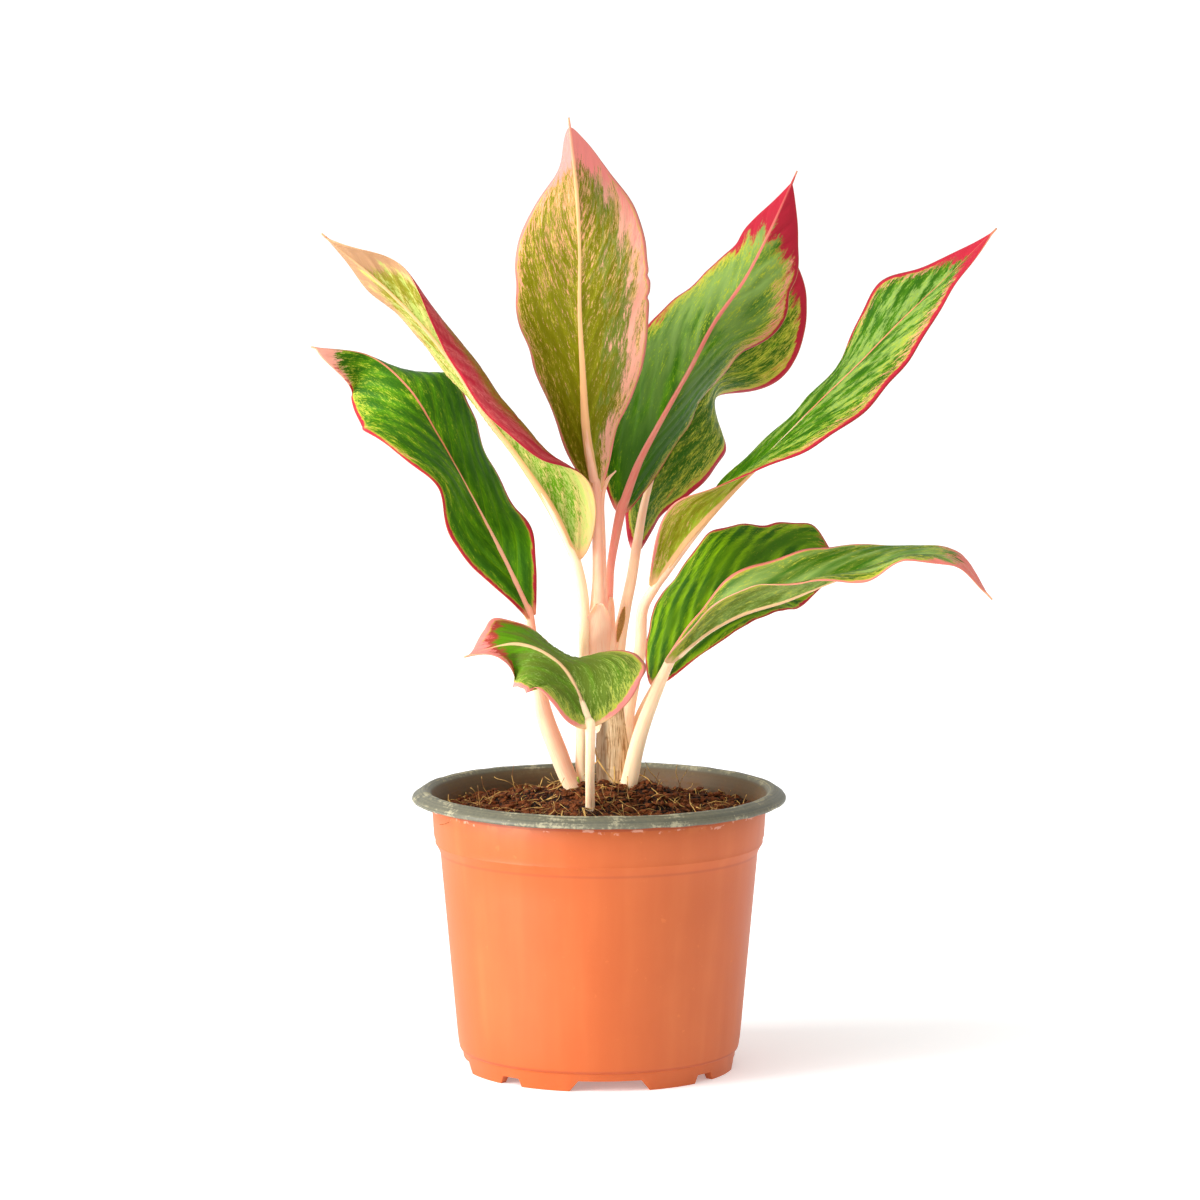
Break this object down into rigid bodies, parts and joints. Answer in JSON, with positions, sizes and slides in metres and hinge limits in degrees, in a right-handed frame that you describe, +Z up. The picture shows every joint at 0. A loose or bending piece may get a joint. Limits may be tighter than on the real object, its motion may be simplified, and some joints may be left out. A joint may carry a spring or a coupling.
{
  "type": "potted red chinese evergreen",
  "caption": "Chinese evergreen with broad pointed green leaves edged in red and pink on pale stalks, growing from soil in a round tapered two-skin nursery pot with a rolled rim.",
  "frame": {"origin": "middle of the bounding box at floor level; the pot's axis stands at x -17.1 mm, y -6.1 mm", "axes": "+Z up along the pot's axis, -Y towards the viewer of the picture, +X to that viewer's right"},
  "size_m": [0.2166, 0.1321, 0.3022],
  "materials": {
    "shell_plastic": "satin orange, thin moulded",
    "liner_plastic": "dull dark grey-green with dusty edges",
    "potting_soil": "crumbly peat and coir, matt",
    "stalk_skin": "smooth cream with pink flushes, satin",
    "blade_upright": "olive and peach underside, pink margin, satin",
    "blade_left": "dark green, crimson margin, waxy",
    "blade_left_twisted": "peach and yellow-green underside, crimson margin, satin",
    "blade_back_right": "green, pink-red rib and crimson tip, waxy",
    "blade_behind": "olive green with yellow mottle, crimson margin, waxy",
    "blade_right": "yellow-mottled green, red margin, waxy",
    "blade_low_back": "dark green, thin crimson margin, glossy",
    "blade_low_right": "grey-green sheen, pink-peach margin, waxy",
    "blade_front": "mid-green with yellow speckles, pink margin, waxy"
  },
  "bodies": {
    "root": {"pot_shell": "shell_plastic", "pot_liner": "liner_plastic", "soil": "potting_soil", "main_stem": "stalk_skin", "front_stem": "stalk_skin", "leaf_upright": "blade_upright", "leaf_left": "blade_left", "leaf_left_twisted": "blade_left_twisted", "leaf_back_right": "blade_back_right", "leaf_behind": "blade_behind", "leaf_right": "blade_right", "leaf_low_back": "blade_low_back", "leaf_low_right": "blade_low_right", "leaf_front": "blade_front"}
  },
  "joints": []
}
